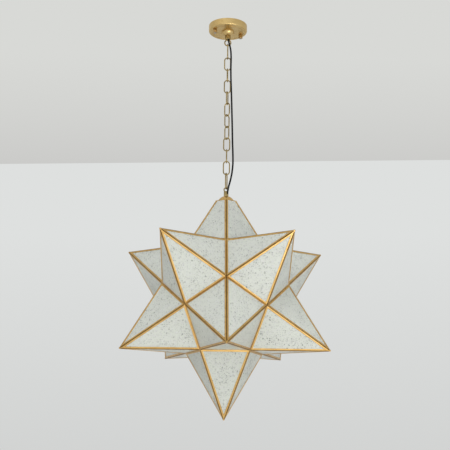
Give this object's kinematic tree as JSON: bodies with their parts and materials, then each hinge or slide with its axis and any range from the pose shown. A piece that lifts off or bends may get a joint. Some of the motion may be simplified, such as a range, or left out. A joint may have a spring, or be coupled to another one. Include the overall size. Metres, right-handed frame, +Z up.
{
  "type": "moravian star pendant light",
  "caption": "Moravian star pendant: a brass-framed star of seedy glass hung from a round canopy by a chain.",
  "frame": {"origin": "on the pendant's axis, in the plane of the ceiling, at the middle of the ceiling strap's upper face", "axes": "+Z up out of the ceiling, +X to the right and -Y towards the viewer of the front point"},
  "size_m": [0.5024, 0.5282, 1.0291],
  "materials": {
    "frame_brass": "satin",
    "canopy_brass": "brushed satin",
    "chain_brass": "satin, slightly aged",
    "zinc_steel": "zinc plated",
    "seedy_glass": "clear with many small seeds",
    "cord_black": "matte",
    "holder_plastic": "matte",
    "shell_metal": "plain"
  },
  "bodies": {
    "ceiling_fixing": {"ceiling_bracket": "zinc_steel", "stud_bar": "zinc_steel", "bracket_studs": "zinc_steel", "canopy": "canopy_brass", "thumb_nut_left": "canopy_brass", "thumb_nut_right": "canopy_brass", "canopy_bell": "canopy_brass", "canopy_nipple": "zinc_steel", "canopy_locknut": "zinc_steel", "canopy_loop": "canopy_brass", "power_cord": "cord_black"},
    "link_01": {"chain_link_01": "chain_brass"},
    "link_02": {"chain_link_02": "chain_brass"},
    "link_03": {"chain_link_03": "chain_brass"},
    "link_04": {"chain_link_04": "chain_brass"},
    "link_05": {"chain_link_05": "chain_brass"},
    "link_06": {"chain_link_06": "chain_brass"},
    "link_07": {"chain_link_07": "chain_brass"},
    "link_08": {"chain_link_08": "chain_brass"},
    "link_09": {"chain_link_09": "chain_brass"},
    "link_10": {"chain_link_10": "chain_brass"},
    "link_11": {"chain_link_11": "chain_brass"},
    "link_12": {"chain_link_12": "chain_brass"},
    "star": {"star_loop": "chain_brass", "cap_dome": "frame_brass", "top_plate": "frame_brass", "star_nipple": "zinc_steel", "star_locknut": "zinc_steel", "lampholder": "holder_plastic", "screw_shell": "shell_metal", "valley_came": "frame_brass", "point_tips": "frame_brass", "frame_top": "frame_brass", "frame_upper_front_right": "frame_brass", "frame_upper_right": "frame_brass", "frame_upper_back": "frame_brass", "frame_upper_left": "frame_brass", "frame_upper_front_left": "frame_brass", "frame_lower_front": "frame_brass", "frame_lower_right": "frame_brass", "frame_lower_back_right": "frame_brass", "frame_lower_back_left": "frame_brass", "frame_lower_left": "frame_brass", "frame_bottom": "frame_brass", "glass_top": "seedy_glass", "glass_upper_front_right": "seedy_glass", "glass_upper_right": "seedy_glass", "glass_upper_back": "seedy_glass", "glass_upper_left": "seedy_glass", "glass_upper_front_left": "seedy_glass", "glass_lower_front": "seedy_glass", "glass_lower_right": "seedy_glass", "glass_lower_back_right": "seedy_glass", "glass_lower_back_left": "seedy_glass", "glass_lower_left": "seedy_glass", "glass_bottom": "seedy_glass", "hinge_leaf": "frame_brass", "hinge_pin": "frame_brass"},
    "door": {"door_frame": "frame_brass", "door_glass": "seedy_glass"}
  },
  "joints": [
    {"name": "top_link_swing", "type": "hinge", "parent": "ceiling_fixing", "child": "link_01", "pos_m": [0, 0, -0.0559], "axis": [1, 0, 0], "range_deg": [-12, 12], "deforming": ["power_cord"]},
    {"name": "link_01_swing", "type": "hinge", "parent": "link_01", "child": "link_02", "pos_m": [0, 0, -0.094], "axis": [0, 1, 0], "range_deg": [-12, 12]},
    {"name": "link_02_swing", "type": "hinge", "parent": "link_02", "child": "link_03", "pos_m": [0, 0, -0.1258], "axis": [-0.9962, 0.0872, 0], "range_deg": [-12, 12]},
    {"name": "link_03_swing", "type": "hinge", "parent": "link_03", "child": "link_04", "pos_m": [0, 0, -0.1576], "axis": [0.0872, 0.9962, 0], "range_deg": [-12, 12]},
    {"name": "link_04_swing", "type": "hinge", "parent": "link_04", "child": "link_05", "pos_m": [0, 0, -0.1894], "axis": [1, 0, 0], "range_deg": [-12, 12]},
    {"name": "link_05_swing", "type": "hinge", "parent": "link_05", "child": "link_06", "pos_m": [0, 0, -0.2212], "axis": [0.2588, 0.9659, 0], "range_deg": [-12, 12]},
    {"name": "link_06_swing", "type": "hinge", "parent": "link_06", "child": "link_07", "pos_m": [0, 0, -0.253], "axis": [-0.766, 0.6428, 0], "range_deg": [-12, 12]},
    {"name": "link_07_swing", "type": "hinge", "parent": "link_07", "child": "link_08", "pos_m": [0, 0, -0.2848], "axis": [0.7071, 0.7071, 0], "range_deg": [-12, 12]},
    {"name": "link_08_swing", "type": "hinge", "parent": "link_08", "child": "link_09", "pos_m": [0, 0, -0.3166], "axis": [-0.6428, 0.766, 0], "range_deg": [-12, 12]},
    {"name": "link_09_swing", "type": "hinge", "parent": "link_09", "child": "link_10", "pos_m": [0, 0, -0.3484], "axis": [-1, 0, 0], "range_deg": [-12, 12]},
    {"name": "link_10_swing", "type": "hinge", "parent": "link_10", "child": "link_11", "pos_m": [0, 0, -0.3802], "axis": [0, 1, 0], "range_deg": [-12, 12]},
    {"name": "link_11_swing", "type": "hinge", "parent": "link_11", "child": "link_12", "pos_m": [0, 0, -0.412], "axis": [1, 0, 0], "range_deg": [-12, 12]},
    {"name": "star_swing", "type": "hinge", "parent": "link_12", "child": "star", "pos_m": [0, 0, -0.4502], "axis": [0.2588, 0.9659, 0], "range_deg": [-12, 12]},
    {"name": "door_hinge", "type": "hinge", "parent": "star", "child": "door", "pos_m": [0, 0.08351, -0.59952], "axis": [1, 0, 0], "range_deg": [0, 100]}
  ]
}
